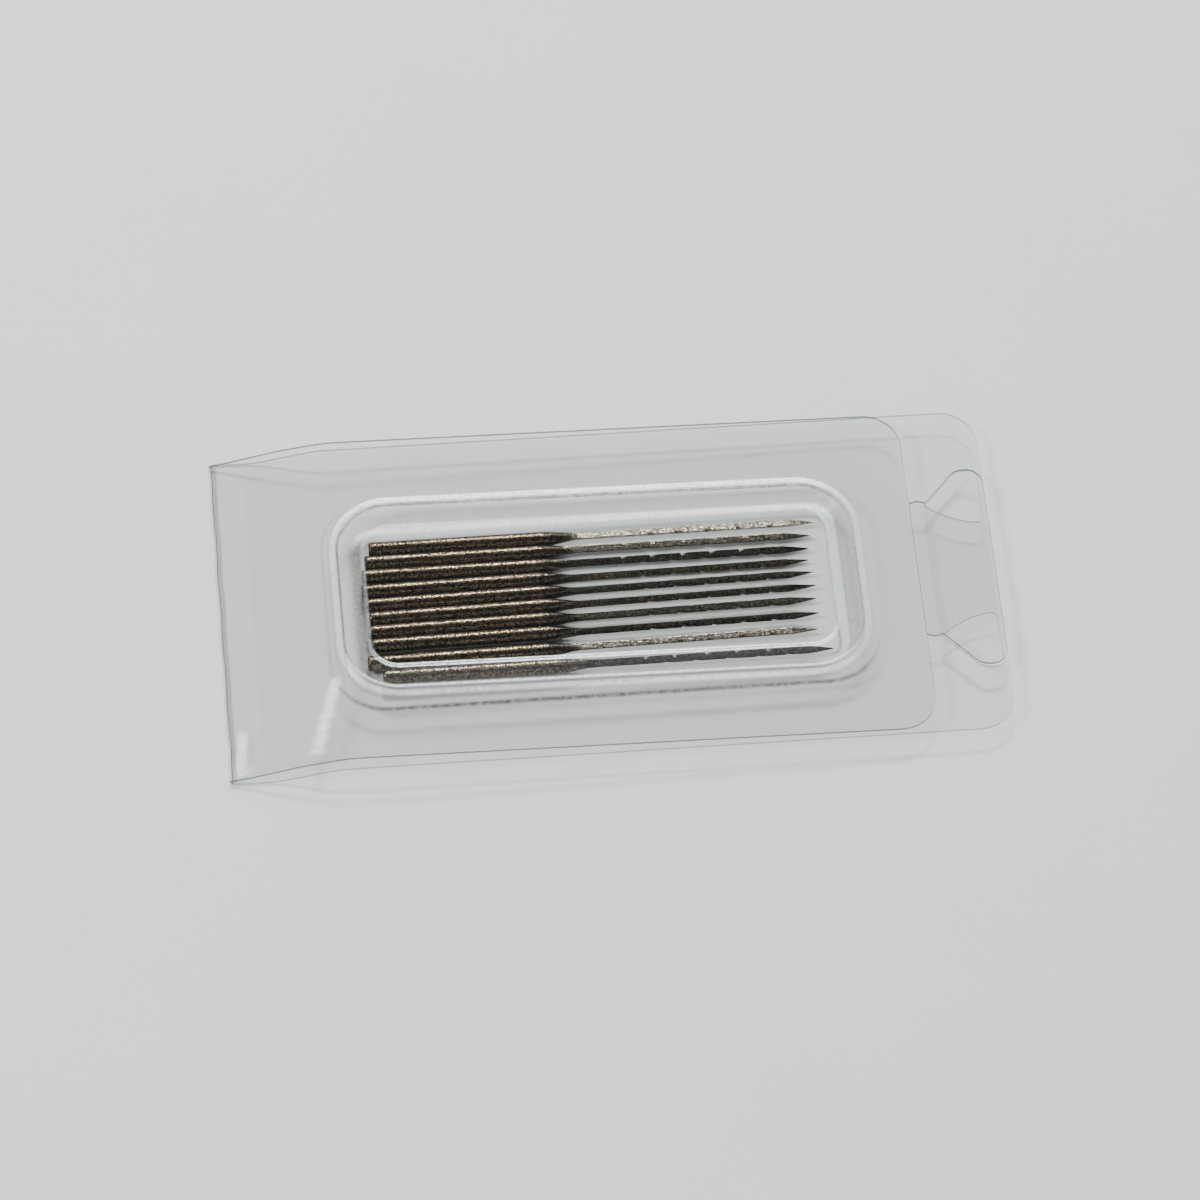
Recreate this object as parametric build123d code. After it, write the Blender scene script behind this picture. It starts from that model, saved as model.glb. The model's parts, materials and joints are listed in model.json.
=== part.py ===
"""A folded wallet of thin clear film with ten loose felting needles, lying closed on a table.

One sheet of film is folded over at the left. Its lower half is pressed down into a shallow tray
that holds the needles in a single row, shanks at the fold side. Its upper half is the cover, with
a low raised frame pressed round a flat middle, and ends in a lock tab with two wings, which lie
over two leaf-shaped windows in the lower half.

X runs from the fold to the tab, Y across the wallet, Z up, and all lengths are in millimetres.
The pieces are drawn with X counted from the fold's outer edge. The finished ones are then moved,
so that the origin is on the table under the middle of the closed wallet.
"""
from build123d import *
from math import atan2, cos, radians, sin, sqrt, tan
import os

# Driving sizes: film
film = 0.25
pinch_gap = 0.03
press_bend = 0.12
cut_overrun = 4.0

# Driving sizes: needles
needle_count = 10
needle_length = 40.0
shank_diameter = 1.37
shank_length = 16.6
shank_edge_round = 0.16
taper_length = 2.0
blade_side = 0.75
point_length = 2.4
point_flat = 0.04
needle_float = 0.03
barbs_per_edge = 5
barb_from_point = 4.4
barb_pitch = 2.7
barb_depth = 0.1
barb_length = 0.5

# Driving sizes: room round the row of needles
wall_overlap = 0.49
far_room = 0.63
butt_room = 0.9
point_room = 0.9

# Driving sizes: tray, frame and margins
floor_corner = 1.5
tray_wall_run = 2.05
tray_rim = 0.2
frame_height = 0.35
frame_inner_corner = 2.45
frame_inner_run = 0.45
frame_outer_corner = 5.5
frame_outer_run = 0.75
frame_land = 0.2
fold_margin = 12.95
lock_margin = 7.5
side_margin = 9.12
tray_overhang = 0.18
sheet_corner = 3.3

# Driving sizes: how the closed film lies
cover_lean = 1.13
fold_slope = 9.0
fold_run = 2.0
fold_bend = 8.0
cover_bend_room = 2.2
ramp_angle = 14.0
ramp_bend = 8.0
tab_clearance = 0.05

# Driving sizes: lock tab and its windows
tab_length = 6.95
neck_half_width = 6.9
neck_bulge = 0.25
notch_length = 1.45
wing_angle = 48.0
window_rim = 0.45
window_clearance = 0.15
window_depth = 2.1

# Lock tab's reach and rounds: wings as a share of their length, rounds as shares of the reach
wing_reach_share = 0.618
wing_round_share = 0.441
window_round_share = 0.176

# Places in the row, from the far side: spacing and butt offset as shares of the shank's diameter
spacing_shares = (1.036, 1.051, 1.15, 1.08, 1.03, 1.037, 1.03, 1.33, 1.105)
butt_shares = (0.07, 0.43, 0.63, 0.71, 0.53, 0.4, 0.54, 0.42, 0.72, -0.18)
yaw_degrees = (0.05, 0.1, 0.2, 0.75, 1.0, 1.0, 1.05, 0.85, 0.95, 0.15)
roll_degrees = (0, 25, 70, 40, 95, 10, 55, 80, 30, 65)

# Derived sizes: row of needles and tray
shank_radius = shank_diameter / 2
row_width = shank_diameter * (1 + sum(spacing_shares))
floor_half_width = (row_width - wall_overlap + far_room) / 2
floor_half_length = (needle_length + butt_room + point_room) / 2
tray_core = (floor_half_length - floor_corner, floor_half_width - floor_corner)
blister_x = fold_margin + floor_half_length
tray_depth = shank_diameter
flange_top = film + tray_depth
opening_radius = floor_corner + tray_wall_run
rim_radius = opening_radius + tray_rim

# Derived sizes: frame, whose crest stands over the tray's opening
frame_half_length = floor_half_length + tray_wall_run + frame_outer_run
frame_half_width = floor_half_width + tray_wall_run + frame_outer_run
frame_core = (frame_half_length - frame_outer_corner, frame_half_width - frame_outer_corner)
frame_inner_top = frame_inner_corner + frame_inner_run
frame_outer_top = frame_outer_corner - frame_outer_run
ring_start = frame_inner_corner - frame_land
ring_end = frame_outer_corner + frame_land

# Derived sizes: sheets
cover_length = fold_margin + 2 * floor_half_length + lock_margin
wallet_length = cover_length + tab_length
wing_reach = (tab_length - notch_length) * wing_reach_share
wing_round = wing_reach * wing_round_share
window_round = wing_reach * window_round_share
cover_half_width = floor_half_width + side_margin
tray_half_width = cover_half_width + tray_overhang

# Derived places: fold axis, and the leaning plane under the cover's film
fold_inner_radius = pinch_gap / 2
fold_outer_radius = fold_inner_radius + film
fold_axis = Vector(fold_outer_radius, 0, fold_outer_radius)
tab_seat = flange_top + tab_clearance
lean = Location((wallet_length, 0, tab_seat), (0, cover_lean, 0))


def cover_top(x):
    """Height of the cover film's upper face where it is flat, at a place along X."""
    return tab_seat + film / cos(radians(cover_lean)) + (wallet_length - x) * tan(radians(cover_lean))


def offset_below(points):
    """Move a line of (x, z) points sideways by the film's thickness, with mitred corners."""
    directions = []
    for start, end in zip(points, points[1:]):
        run = end[0] - start[0]
        rise = end[1] - start[1]
        length = sqrt(run * run + rise * rise)
        directions.append((run / length, rise / length))
    moved = []
    for index, point in enumerate(points):
        before = directions[max(index - 1, 0)]
        after = directions[min(index, len(directions) - 1)]
        bisector = (before[0] + after[0], before[1] + after[1])
        size = sqrt(bisector[0] ** 2 + bisector[1] ** 2)
        unit = (bisector[0] / size, bisector[1] / size)
        miter = film / (unit[0] * after[0] + unit[1] * after[1])
        moved.append((point[0] + unit[1] * miter, point[1] - unit[0] * miter))
    return moved


def rounded_line(points, radii):
    """A line through (x, z) points in the XZ plane, with its corners rounded."""
    corners = [Vector(x, 0, z) for x, z in points]
    if len(corners) == 2:
        return Line(*corners)
    return FilletPolyline(*corners, radius=radii)


def film_section(points, bends):
    """Cut face of the film whose upper side follows the points, bent with the given inner radii."""
    upper_radii = []
    lower_radii = []
    for index, bend in enumerate(bends):
        before, corner, after = points[index:index + 3]
        turn = (corner[0] - before[0]) * (after[1] - corner[1])
        turn -= (corner[1] - before[1]) * (after[0] - corner[0])
        upper_radii.append(bend if turn > 0 else bend + film)
        lower_radii.append(bend + film if turn > 0 else bend)
    upper = rounded_line(points, upper_radii)
    lower = rounded_line(offset_below(points), lower_radii)
    ends = Line(upper @ 1, lower @ 1) + Line(lower @ 0, upper @ 0)
    return make_face(upper.edges() + lower.edges() + ends.edges())


def extrude_across(face, half_width):
    """Extrude a face drawn in the XZ plane to both sides of the middle line."""
    return extrude(face, amount=half_width, dir=(0, 1, 0), both=True)


def loop_prism(core, radius, top, bottom):
    """Upright solid whose outline stays the given distance outside a core rectangle.

    The core is given by its half length and half width.
    """
    outline = RectangleRounded(2 * (core[0] + radius), 2 * (core[1] + radius), radius)
    return extrude(Pos(0, 0, bottom) * outline, amount=top - bottom)


def pressed_ring(core, points, bends):
    """Film section carried once round a core rectangle: four straight sides and four corners.

    The points give the distance outside the core and the height of the film's upper side.
    """
    section = film_section(points, bends)
    ring = None
    quarter = 90
    for turn in range(4):
        along = core[turn % 2 - 1]
        away = core[turn % 2]
        side = Pos(away, 0, 0) * extrude_across(section, along)
        corner = Pos(away, along, 0) * revolve(section, Axis.Z, quarter)
        piece = Rot(0, 0, turn * quarter) * (side + corner)
        ring = piece if ring is None else ring + piece
    return ring


def upright(outline):
    """Tall solid above and below an outline in plan, used to trim a sheet to shape."""
    return Pos(0, 0, -cut_overrun) * extrude(outline, amount=flange_top + 3 * cut_overrun)


def rounded_sheet(start, end, half_width):
    """Plan of a sheet: square at the fold side and rounded at the two corners by the lock."""
    length = end - start
    plan = Pos(start + length / 2, 0) * Rectangle(length, 2 * half_width)
    outer_corners = plan.vertices().group_by(Axis.X)[-1]
    return fillet(outer_corners, sheet_corner)


def wing_outline(grow):
    """Plan of the lock tab with its two wings, grown evenly by a clearance."""
    root = cover_length + notch_length
    slant = wing_reach / tan(radians(wing_angle))
    half = neck_half_width
    end = wallet_length
    points = [(root, half), (root + slant, half + wing_reach), (end, half + wing_reach)]
    mirrored = [(x, -y) for x, y in reversed(points)]
    plan = make_face(Polyline(*points, *mirrored, close=True))
    tips = plan.vertices().sort_by(Axis.Y)
    plan = fillet(tips[:2] + tips[-2:], wing_round)
    return offset(plan, amount=grow) if grow else plan


def neck_outline():
    """Plan of the neck between the cover's edge and the wings, bulging a little at both sides."""
    start = cover_length
    end = cover_length + notch_length
    middle = (start + end) / 2
    half = neck_half_width
    far_side = ThreePointArc((start, half), (middle, half + neck_bulge), (end, half))
    near_side = ThreePointArc((end, -half), (middle, -half - neck_bulge), (start, -half))
    sides = Line(far_side @ 1, near_side @ 0) + Line(near_side @ 1, far_side @ 0)
    return make_face(far_side.edges() + near_side.edges() + sides.edges())


def window_outline(side):
    """Plan of one leaf-shaped window under a wing, pointed at the neck. side is 1 or -1."""
    tip = (cover_length + notch_length, neck_half_width)
    end = wallet_length - window_rim
    inner = neck_half_width - window_depth
    middle = ((tip[0] + end) / 2, (tip[1] + inner) / 2 - window_depth / 8)
    leaf_edge = ThreePointArc(tip, middle, (end, inner))
    outer = neck_half_width + wing_reach + window_clearance
    reach = outer - tip[1]
    run = reach / tan(radians(wing_angle))
    rest = Polyline((end, inner), (end, outer), (tip[0] + run, outer), tip)
    leaf = make_face(leaf_edge.edges() + rest.edges())
    slant_corner = leaf.vertices().group_by(Axis.Y)[-1].sort_by(Axis.X)[0]
    leaf = fillet(slant_corner, wing_round)
    leaf = fillet(leaf.vertices().group_by(Axis.X)[-1], window_round)
    return leaf if side > 0 else mirror(leaf, Plane.XZ)


def make_tray_sheet():
    """Lower half of the film: flat where it leaves the fold, ramped up to the flange, with the tray."""
    rise_run = tray_depth / tan(radians(ramp_angle))
    bend_room = (ramp_bend + film) * tan(radians(ramp_angle / 2))
    ramp_top = blister_x - tray_core[0] - rim_radius - bend_room
    points = [
        (fold_axis.X, film),
        (ramp_top - rise_run, film),
        (ramp_top, flange_top),
        (wallet_length, flange_top),
    ]
    sheet = extrude_across(film_section(points, [ramp_bend, ramp_bend]), tray_half_width)
    sheet &= upright(rounded_sheet(fold_axis.X, wallet_length, tray_half_width))
    for side in (1, -1):
        sheet -= upright(window_outline(side))
    opening = loop_prism(tray_core, rim_radius, flange_top + cut_overrun, -cut_overrun)
    sheet -= Pos(blister_x, 0, 0) * opening
    floor_start = floor_corner / 2
    wall = [
        (floor_start, film),
        (floor_corner, film),
        (opening_radius, flange_top),
        (rim_radius, flange_top),
    ]
    tray = pressed_ring(tray_core, wall, [press_bend, press_bend])
    tray += loop_prism(tray_core, floor_start, film, 0)
    return sheet + Pos(blister_x, 0, 0) * tray


def cover_start():
    """Upper corner of the film where the cover begins, square to its first slope."""
    turn = radians(90 + fold_slope)
    return fold_axis.X + fold_outer_radius * cos(turn), fold_axis.Z + fold_outer_radius * sin(turn)


def cover_film():
    """Whole width of the upper film in one length, from the fold up to the leaning plane."""
    start_x, start_z = cover_start()
    first_x = start_x + fold_run
    first_z = start_z + fold_run * tan(radians(fold_slope))
    knee_x = blister_x - frame_core[0] - ring_end - cover_bend_room
    knee_z = cover_top(knee_x)
    climb = atan2(knee_z - first_z, knee_x - first_x)
    cover_bend = cover_bend_room / tan((climb + radians(cover_lean)) / 2) - film
    points = [
        (start_x, start_z),
        (first_x, first_z),
        (knee_x, knee_z),
        (wallet_length, cover_top(wallet_length)),
    ]
    return extrude_across(film_section(points, [fold_bend, cover_bend]), cover_half_width)


def make_cover_sheet():
    """Upper half of the film: it climbs from the fold, leans down to the lock and has the frame."""
    plan = rounded_sheet(cover_start()[0] - film, cover_length, cover_half_width)
    sheet = cover_film() & upright(plan)
    frame = [
        (ring_start, film),
        (frame_inner_corner, film),
        (frame_inner_top, film + frame_height),
        (frame_outer_top, film + frame_height),
        (frame_outer_corner, film),
        (ring_end, film),
    ]
    blister = lean * Pos((blister_x - wallet_length) / cos(radians(cover_lean)), 0, 0)
    sheet -= blister * loop_prism(frame_core, ring_end, cut_overrun, -cut_overrun)
    pressed = pressed_ring(frame_core, frame, [press_bend] * 4)
    pressed += loop_prism(frame_core, ring_start, film, 0)
    return sheet + blister * pressed


def make_lock_tab():
    """Tab that continues the cover past a scored crease, with a neck and two wings."""
    plan = wing_outline(0) + neck_outline()
    return cover_film() & upright(plan)


def make_fold_film():
    """Tight half turn of film that joins the two halves at the left."""
    turn = fold_slope - 180
    places = []
    for radius in (fold_outer_radius, fold_inner_radius):
        for share in (0, 0.5, 1):
            angle = radians(270 + turn * share)
            places.append(Vector(fold_axis.X + radius * cos(angle), 0, fold_axis.Z + radius * sin(angle)))
    outer = ThreePointArc(*places[:3])
    inner = ThreePointArc(*places[3:])
    ends = Line(outer @ 0, inner @ 0) + Line(outer @ 1, inner @ 1)
    section = make_face(outer.edges() + inner.edges() + ends.edges())
    return extrude_across(section, cover_half_width)


def make_needle():
    """One needle along +X with its butt at the origin: round shank, taper, three-edged barbed blade."""
    blade_radius = blade_side / sqrt(3)
    blade_start = shank_length + taper_length
    profile = Polyline(
        (0, 0),
        (0, shank_radius - shank_edge_round),
        (shank_edge_round, shank_radius),
        (shank_length, shank_radius),
        (blade_start, blade_radius * 0.9),
        (blade_start, 0),
        close=True,
    )
    needle = revolve(make_face(profile), Axis.X)
    point_start = needle_length - point_length
    section = Plane.YZ * RegularPolygon(blade_radius, 3)
    blade = Pos(shank_length, 0, 0) * extrude(section, amount=point_start - shank_length)
    base = Pos(point_start, 0, 0) * section
    end = Pos(needle_length, 0, 0) * (Plane.YZ * RegularPolygon(point_flat, 3))
    needle += blade + loft([base, end])
    notch = make_face(Polyline(
        (0, blade_radius - barb_depth),
        (0, blade_radius + barb_depth),
        (barb_length, blade_radius + barb_depth),
        close=True,
    ))
    cutter = extrude(notch, amount=blade_side, dir=(0, 0, 1), both=True)
    for edge in range(3):
        for index in range(barbs_per_edge):
            place = needle_length - barb_from_point - (index + edge / 3) * barb_pitch
            needle -= Rot(90 + edge * 120, 0, 0) * Pos(place, 0, 0) * cutter
    return needle


def needle_places():
    """Butt, yaw and roll of every needle in the row, from the far side to the near side."""
    butt_x = blister_x - floor_half_length + butt_room
    y = floor_half_width - far_room - shank_radius
    height = film + needle_float + shank_radius
    places = []
    for index in range(needle_count):
        if index:
            y -= spacing_shares[(index - 1) % len(spacing_shares)] * shank_diameter
        shift = butt_shares[index % len(butt_shares)] * shank_diameter
        yaw = yaw_degrees[index % len(yaw_degrees)]
        roll = roll_degrees[index % len(roll_degrees)]
        places.append(((butt_x - shift, y, height), yaw, roll))
    return places


def make_parts():
    """Every node of the wallet by name."""
    parts = {
        "tray_sheet": make_tray_sheet(),
        "cover_sheet": make_cover_sheet(),
        "fold_film": make_fold_film(),
        "lock_tab": make_lock_tab(),
    }
    needle = make_needle()
    for index, (butt, yaw, roll) in enumerate(needle_places()):
        place = Location(butt, (0, 0, yaw)) * Rot(roll, 0, 0)
        parts[f"needle_{index + 1:02d}"] = place * needle
    return parts


to_middle = Pos(-wallet_length / 2, 0, 0)
os.makedirs("parts", exist_ok=True)
for name, solid in make_parts().items():
    placed = to_middle * solid
    placed.label = name
    export_step(placed, f"parts/{name}.step")
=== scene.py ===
"""Looks of a folded wallet of clear film that holds ten loose felting needles.

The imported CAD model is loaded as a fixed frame. The film and the needles are drawn again as
smooth numpy surfaces in the same place, and get the materials of the real ones.
Lengths in the formulas are in millimetres, and meshes are written in metres.
"""
import json
from math import atan2, cos, radians, sin, tan

import bpy
import numpy as np
from bpy.props import FloatProperty, FloatVectorProperty, IntProperty, PointerProperty
from mathutils import Matrix, Vector


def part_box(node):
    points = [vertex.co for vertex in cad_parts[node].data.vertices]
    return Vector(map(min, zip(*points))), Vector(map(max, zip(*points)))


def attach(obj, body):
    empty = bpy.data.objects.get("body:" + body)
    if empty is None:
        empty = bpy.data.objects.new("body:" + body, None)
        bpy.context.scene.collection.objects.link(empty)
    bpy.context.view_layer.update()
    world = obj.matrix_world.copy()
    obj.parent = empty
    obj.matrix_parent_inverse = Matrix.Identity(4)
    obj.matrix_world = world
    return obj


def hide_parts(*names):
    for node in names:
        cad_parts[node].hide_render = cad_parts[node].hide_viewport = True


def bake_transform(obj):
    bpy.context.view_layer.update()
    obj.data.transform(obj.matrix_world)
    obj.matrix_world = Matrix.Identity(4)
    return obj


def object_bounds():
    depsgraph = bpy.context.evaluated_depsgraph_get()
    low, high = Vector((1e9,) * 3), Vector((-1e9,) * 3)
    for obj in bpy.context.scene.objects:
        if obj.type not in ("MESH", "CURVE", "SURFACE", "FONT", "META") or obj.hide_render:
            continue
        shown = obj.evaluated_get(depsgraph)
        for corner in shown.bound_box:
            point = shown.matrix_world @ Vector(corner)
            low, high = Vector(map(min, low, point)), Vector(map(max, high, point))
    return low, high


bl_info = {
    "name": "Felting needle wallet",
    "version": (1, 0, 0),
    "blender": (4, 5, 0),
    "location": "View3D > Sidebar > Wallet",
    "description": "Builds the film and the needles of a felting needle wallet",
    "category": "Object",
}

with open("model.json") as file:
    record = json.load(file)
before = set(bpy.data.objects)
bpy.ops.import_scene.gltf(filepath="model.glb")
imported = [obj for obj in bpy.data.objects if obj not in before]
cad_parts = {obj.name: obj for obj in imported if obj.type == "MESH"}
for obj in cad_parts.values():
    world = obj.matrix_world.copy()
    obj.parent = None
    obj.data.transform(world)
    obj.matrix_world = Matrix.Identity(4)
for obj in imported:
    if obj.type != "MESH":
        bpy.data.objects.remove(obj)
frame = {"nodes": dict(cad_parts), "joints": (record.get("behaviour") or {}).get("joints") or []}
cad_low, cad_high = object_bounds()

MM = 0.001
FOLD_X = cad_low.x / MM
END_X = cad_high.x / MM

# Places and forms that the film's pieces share, in mm, with X counted from the fold
BLISTER_X = 33.85  # middle of the tray and of the raised frame
FOLD_OUTER = 0.265  # outer radius of the half turn, and the height of its axis
FOLD_INNER = 0.015  # inner radius of the half turn
FOLD_TURN = radians(99)  # where the half turn ends and the cover begins
NECK_HALF = 6.9  # half width of the lock tab's neck
TAB_ROOT = 1.45  # from the crease to the root of the wings
CREASE_GAP = 0.02  # kept free at the crease, so that the tab can turn
WING_REACH = 3.4  # how far a wing stands out past the neck
WING_ANGLE = radians(48)  # slant of a wing's edge at the neck
WING_CORNER = 1.5  # radius of the wings' outer corners
SHEET_CORNER = 3.3  # radius of both sheets' corners at the lock end
BESIDE = 9.0  # distance from the core that stands for anywhere beside the pressed form


class FilmSizes(bpy.types.PropertyGroup):
    """Sizes of the folded film."""

    thickness: FloatProperty(
        name="Film thickness", description="Thickness of the clear film",
        default=0.25 * MM, unit="LENGTH", precision=5)
    tray_half_width: FloatProperty(
        name="Tray half width", description="Half the width of the lower sheet",
        default=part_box("tray_sheet")[1].y, unit="LENGTH", precision=5)
    cover_half_width: FloatProperty(
        name="Cover half width", description="Half the width of the upper sheet",
        default=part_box("cover_sheet")[1].y, unit="LENGTH", precision=5)
    cover_length: FloatProperty(
        name="Cover length", description="From the fold to the crease of the lock tab",
        default=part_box("cover_sheet")[1].x - cad_low.x, unit="LENGTH", precision=5)
    flange_top: FloatProperty(
        name="Flange height", description="Height of the lower sheet's upper face beside the tray",
        default=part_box("tray_sheet")[1].z, unit="LENGTH", precision=5)
    floor_half_length: FloatProperty(
        name="Floor half length", description="Half the length of the tray's flat floor",
        default=20.9 * MM, unit="LENGTH", precision=5)
    floor_half_width: FloatProperty(
        name="Floor half width", description="Half the width of the tray's flat floor",
        default=7.5 * MM, unit="LENGTH", precision=5)
    wall_run: FloatProperty(
        name="Wall run", description="How far the tray's wall leans out over its height",
        default=2.05 * MM, unit="LENGTH", precision=5)
    frame_height: FloatProperty(
        name="Frame height", description="How far the raised frame stands above the cover",
        default=0.35 * MM, unit="LENGTH", precision=5)
    cover_lean: FloatProperty(
        name="Cover lean", description="Slope of the closed cover down to the lock",
        default=radians(1.13), subtype="ANGLE")


class FilmColours(bpy.types.PropertyGroup):
    """Colours of the clear film."""

    tint: FloatVectorProperty(
        name="Film tint", description="Colour of light that has passed through the film",
        default=(0.953, 0.958, 0.950), subtype="COLOR", size=3, min=0, max=1)


class NeedleSizes(bpy.types.PropertyGroup):
    """Sizes of one felting needle."""

    length: FloatProperty(
        name="Length", description="From the butt to the point",
        default=40 * MM, unit="LENGTH", precision=5)
    shank_diameter: FloatProperty(
        name="Shank diameter", description="Diameter of the round shank",
        default=1.37 * MM, unit="LENGTH", precision=5)
    shank_length: FloatProperty(
        name="Shank length", description="Length of the round shank",
        default=15.3 * MM, unit="LENGTH", precision=5)
    taper_length: FloatProperty(
        name="Taper length", description="From the shank to the blade",
        default=3.9 * MM, unit="LENGTH", precision=5)
    blade_side: FloatProperty(
        name="Blade side", description="Width of one of the blade's three flat faces",
        default=0.75 * MM, unit="LENGTH", precision=5)
    point_length: FloatProperty(
        name="Point length", description="Length over which the blade narrows to its point",
        default=2.4 * MM, unit="LENGTH", precision=5)
    barbs_per_edge: IntProperty(
        name="Barbs per edge", description="Notches cut in each edge of the blade", default=5, min=0)


class StageSizes(bpy.types.PropertyGroup):
    """Floor, lights and camera."""

    key_power: FloatProperty(
        name="Key light", description="Power of the large soft light behind the wallet",
        default=1.8, unit="POWER")
    gleam_power: FloatProperty(
        name="Gleam light", description="Power of the small light that draws the bright lines",
        default=7.4, unit="POWER")
    window_power: FloatProperty(
        name="Window light", description="Power of the low light far behind the wallet",
        default=1.6, unit="POWER")
    side_power: FloatProperty(
        name="Side light", description="Power of the light at the fold side",
        default=7.0, unit="POWER")
    fill_power: FloatProperty(
        name="Fill light", description="Power of the weak low light on the viewer's side",
        default=1.0, unit="POWER")
    camera_distance: FloatProperty(
        name="Camera distance", description="From the camera to the middle of the wallet",
        default=576.1 * MM, unit="LENGTH")
    camera_lens: FloatProperty(
        name="Camera lens", description="Focal length on a 36 mm sensor", default=194.5, unit="CAMERA")


def bent_line(x, points, radii):
    """Height of a line of straight runs whose inner corners are arcs.

    Between corners the height is linear. Round a corner of radius R that turns by an angle t,
    the arc starts R tan(t / 2) before it, and its height is that of the circle there.
    """
    places = np.array(points, float)
    height = np.interp(x, places[:, 0], places[:, 1])
    for before, corner, after, radius in zip(places, places[1:], places[2:], radii):
        first = atan2(corner[1] - before[1], corner[0] - before[0])
        second = atan2(after[1] - corner[1], after[0] - corner[0])
        turn = 1 if second > first else -1
        reach = radius * tan(abs(second - first) / 2)
        start = corner - reach * np.array((cos(first), sin(first)))
        end = corner + reach * np.array((cos(second), sin(second)))
        centre = start + turn * radius * np.array((-sin(first), cos(first)))
        drop = np.sqrt(np.clip(radius ** 2 - (x - centre[0]) ** 2, 0, None))
        height = np.where((x > start[0]) & (x < end[0]), centre[1] - turn * drop, height)
    return height


def grid_faces(rows, columns, wrap=False):
    """Two triangles for each cell of a grid of points; wrap joins the last column to the first."""
    index = np.arange(rows * columns).reshape(rows, columns)
    if wrap:
        index = np.hstack((index, index[:, :1]))
    a, b, c, d = index[:-1, :-1], index[:-1, 1:], index[1:, 1:], index[1:, :-1]
    return np.vstack((np.stack((a, b, c), -1).reshape(-1, 3), np.stack((a, c, d), -1).reshape(-1, 3)))


def weld(points, faces, values):
    """Join points that lie within a ten-thousandth of a millimetre and drop empty triangles."""
    _, first, same = np.unique(np.round(points, 4), axis=0, return_index=True, return_inverse=True)
    faces = same.reshape(-1)[faces]
    kept = (faces[:, 0] != faces[:, 1]) & (faces[:, 1] != faces[:, 2]) & (faces[:, 2] != faces[:, 0])
    return points[first], faces[kept], {name: value[first] for name, value in values.items()}


def join_patches(patches):
    """Put several (points, faces, values) patches in one list of points and weld their edges."""
    start, all_points, all_faces = 0, [], []
    for points, faces, _ in patches:
        all_points.append(points)
        all_faces.append(faces + start)
        start += len(points)
    values = {name: np.concatenate([patch[2][name] for patch in patches]) for name in patches[0][2]}
    return weld(np.vstack(all_points), np.vstack(all_faces), values)


def thicken(points, faces, values, thickness):
    """Closed film whose upper face is the given surface.

    The lower face is every point moved against its normal by the thickness, and the cut edge
    joins the two along every triangle side that only one triangle has.
    """
    sides = points[faces]
    cross = np.cross(sides[:, 1] - sides[:, 0], sides[:, 2] - sides[:, 0])
    normal = np.zeros_like(points)
    for corner in range(3):
        np.add.at(normal, faces[:, corner], cross)
    normal /= np.linalg.norm(normal, axis=1)[:, None]
    count = len(points)
    lower = points - normal * thickness
    edges = np.vstack((faces[:, (0, 1)], faces[:, (1, 2)], faces[:, (2, 0)]))
    code = np.sort(edges, axis=1) @ np.array((count, 1))
    _, first, times = np.unique(code, return_index=True, return_counts=True)
    rim = edges[first[times == 1]]
    a, b = rim[:, 0], rim[:, 1]
    strip = np.vstack((np.stack((b, a, a + count), -1), np.stack((b, a + count, b + count), -1)))
    closed = np.vstack((faces, faces[:, ::-1] + count, strip))
    slots = np.zeros(len(closed), int)
    slots[2 * len(faces):] = 1
    doubled = {name: np.concatenate((value, value)) for name, value in values.items()}
    return np.vstack((points, lower)), closed, doubled, slots


def write_mesh(name, points, faces, values, slots=None):
    """Make a mesh object at the origin from points in millimetres and triangles.

    Edges that turn by more than 40 degrees are sharp. The values become point attributes.
    """
    mesh = bpy.data.meshes.new(name)
    mesh.vertices.add(len(points))
    mesh.vertices.foreach_set("co", (points * MM).astype(np.float32).ravel())
    mesh.loops.add(3 * len(faces))
    mesh.loops.foreach_set("vertex_index", faces.astype(np.int32).ravel())
    mesh.polygons.add(len(faces))
    mesh.polygons.foreach_set("loop_start", np.arange(0, 3 * len(faces), 3, dtype=np.int32))
    if slots is not None:
        mesh.polygons.foreach_set("material_index", slots.astype(np.int32))
    mesh.update(calc_edges=True)
    mesh.validate()
    mesh.polygons.foreach_set("use_smooth", np.ones(len(mesh.polygons), bool))
    mesh.set_sharp_from_angle(angle=radians(40))
    for title, value in values.items():
        attribute = mesh.attributes.new(title, "FLOAT", "POINT")
        attribute.data.foreach_set("value", value.astype(np.float32))
    piece = bpy.data.objects.new(name, mesh)
    bpy.context.scene.collection.objects.link(piece)
    return piece


def corner_angles(reach_x, reach_y, extra):
    """Angles of the rays of one corner, with one ray exactly into the sheet's corner."""
    diagonal = atan2(reach_y, reach_x)
    angles = np.concatenate((
        np.linspace(0, diagonal, 22), np.linspace(diagonal, radians(90), 22), np.array(extra)))
    return np.unique(np.round(angles, 9))


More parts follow.
